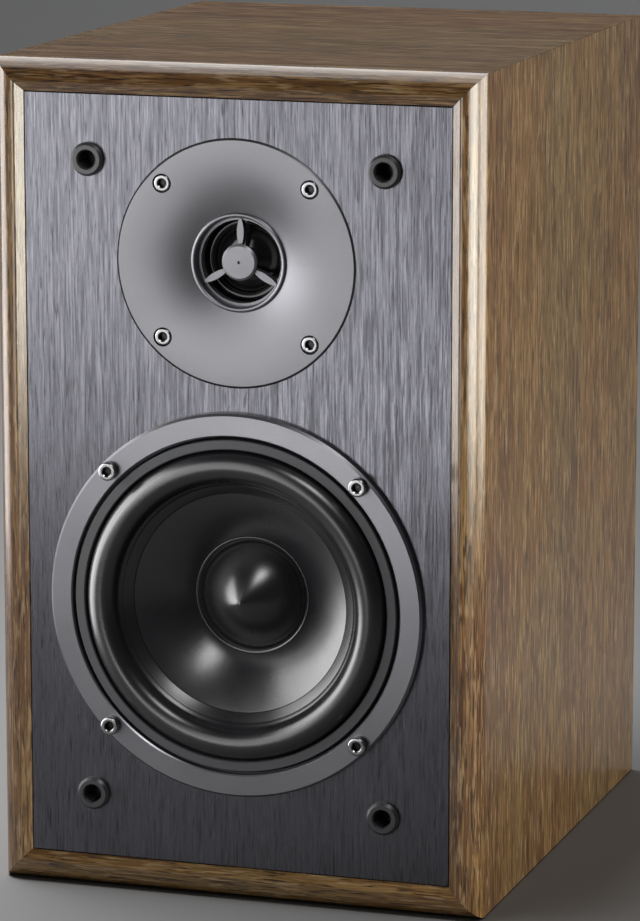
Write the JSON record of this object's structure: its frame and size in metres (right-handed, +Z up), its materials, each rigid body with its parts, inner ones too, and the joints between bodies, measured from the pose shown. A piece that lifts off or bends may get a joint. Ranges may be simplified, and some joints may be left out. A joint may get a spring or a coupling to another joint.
{
  "type": "bookshelf speaker",
  "caption": "Two-way bookshelf loudspeaker: mitred walnut-look cabinet, inset black baffle, dome tweeter with phase plug, cone woofer, rear port and binding posts.",
  "frame": {"origin": "centre of the footprint, on the surface the cabinet stands on", "axes": "+Z up, the front baffle faces -Y, +X to the right seen from the front"},
  "size_m": [0.19, 0.2347, 0.315],
  "materials": {
    "walnut_vinyl": "satin walnut-look vinyl wrap on board",
    "baffle_vinyl": "brushed-look black vinyl on board",
    "back_vinyl": "fine-textured black vinyl on board",
    "fleece": "loose polyester fleece",
    "black_plastic": "satin moulded black plastic",
    "satin_trim": "satin dark silver lacquer",
    "black_steel": "black powder-coated pressed steel",
    "foam_gasket": "closed-cell foam",
    "grey_gasket": "matt dark grey moulding",
    "roll_rubber": "smooth satin butyl rubber",
    "cone_polymer": "satin coated polypropylene",
    "cap_polymer": "satin moulded cap",
    "spider_cloth": "resin-dipped woven cloth",
    "former_paper": "kraft former",
    "copper_wire": "enamelled copper winding",
    "zinc_steel": "zinc-plated steel",
    "ferrite": "dark ground ferrite",
    "phenolic": "brown phenolic board",
    "gold_plate": "gold-plated brass",
    "nickel_screw": "bright nickel-plated steel",
    "black_screw": "black oxide steel",
    "plug_silver": "satin silver lacquer",
    "dome_silk": "glossy coated dome",
    "red_plastic": "red moulded grip",
    "black_grip": "black moulded grip",
    "pcb": "phenolic paper board",
    "capacitor_film": "wrapped film capacitor",
    "cement": "white cement resistor body",
    "red_insulation": "red wire insulation",
    "black_insulation": "black wire insulation"
  },
  "bodies": {
    "speaker": {"left_side_panel": "walnut_vinyl", "right_side_panel": "walnut_vinyl", "top_panel": "walnut_vinyl", "bottom_panel": "walnut_vinyl", "front_baffle": "baffle_vinyl", "back_panel": "back_vinyl", "damping_wadding": "fleece", "grille_sockets": "black_plastic", "woofer_trim_ring": "satin_trim", "woofer_basket": "black_steel", "woofer_seal_gasket": "foam_gasket", "woofer_gasket_ring": "grey_gasket", "woofer_surround": "roll_rubber", "woofer_spider": "spider_cloth", "woofer_top_plate": "zinc_steel", "woofer_magnet": "ferrite", "woofer_yoke": "zinc_steel", "woofer_terminal_strip": "phenolic", "woofer_solder_tags": "gold_plate", "woofer_tinsel_leads": "copper_wire", "woofer_screws": "nickel_screw", "tweeter_faceplate": "satin_trim", "tweeter_phase_plug": "plug_silver", "tweeter_surround": "dome_silk", "tweeter_diaphragm_ring": "black_plastic", "tweeter_top_plate": "zinc_steel", "tweeter_magnet": "ferrite", "tweeter_yoke": "zinc_steel", "tweeter_solder_tags": "gold_plate", "tweeter_gasket": "foam_gasket", "tweeter_screws": "nickel_screw", "crossover_board": "pcb", "woofer_inductor": "copper_wire", "tweeter_inductor": "copper_wire", "crossover_capacitors": "capacitor_film", "crossover_resistor": "cement", "crossover_standoffs": "black_plastic", "crossover_screws": "zinc_steel", "port_tube": "black_plastic", "terminal_cup": "black_plastic", "terminal_cup_screws": "black_screw", "post_studs": "gold_plate", "post_nuts": "zinc_steel", "post_solder_tags": "gold_plate", "red_post_collar": "red_plastic", "black_post_collar": "black_grip", "red_wires": "red_insulation", "black_wires": "black_insulation"},
    "woofer_cone_assembly": {"woofer_cone": "cone_polymer", "woofer_dust_cap": "cap_polymer", "woofer_coil_former": "former_paper", "woofer_coil_winding": "copper_wire"},
    "tweeter_dome_assembly": {"tweeter_dome": "dome_silk", "tweeter_coil_former": "former_paper", "tweeter_coil_winding": "copper_wire"},
    "red_clamp": {"red_post_washer": "gold_plate"},
    "red_knob": {"red_post_knob": "red_plastic"},
    "black_clamp": {"black_post_washer": "gold_plate"},
    "black_knob": {"black_post_knob": "black_grip"}
  },
  "joints": [
    {"name": "woofer_cone_slide", "type": "slide", "parent": "speaker", "child": "woofer_cone_assembly", "axis": [0, -1, 0], "range_m": [-0.004, 0.004], "stiffness_N_per_m": 1000, "deforming": ["woofer_surround", "woofer_spider", "woofer_tinsel_leads"]},
    {"name": "tweeter_dome_slide", "type": "slide", "parent": "speaker", "child": "tweeter_dome_assembly", "axis": [0, -1, 0], "range_m": [-0.0003, 0.0003], "stiffness_N_per_m": 2000, "deforming": ["tweeter_surround"]},
    {"name": "red_clamp_slide", "type": "slide", "parent": "speaker", "child": "red_clamp", "axis": [0, 1, 0], "range_m": [0, 0.0044]},
    {"name": "red_knob_turn", "type": "hinge", "parent": "red_clamp", "child": "red_knob", "pos_m": [-0.015, 0.11435, 0.088], "axis": [0, 1, 0], "range_deg": [0, 1981]},
    {"name": "black_clamp_slide", "type": "slide", "parent": "speaker", "child": "black_clamp", "axis": [0, 1, 0], "range_m": [0, 0.0044]},
    {"name": "black_knob_turn", "type": "hinge", "parent": "black_clamp", "child": "black_knob", "pos_m": [0.015, 0.11435, 0.088], "axis": [0, 1, 0], "range_deg": [0, 1981]}
  ],
  "couplings": [
    {"joint": "red_knob_turn", "follows": "red_clamp_slide", "rad_per_m": 7854},
    {"joint": "black_knob_turn", "follows": "black_clamp_slide", "rad_per_m": 7854}
  ]
}
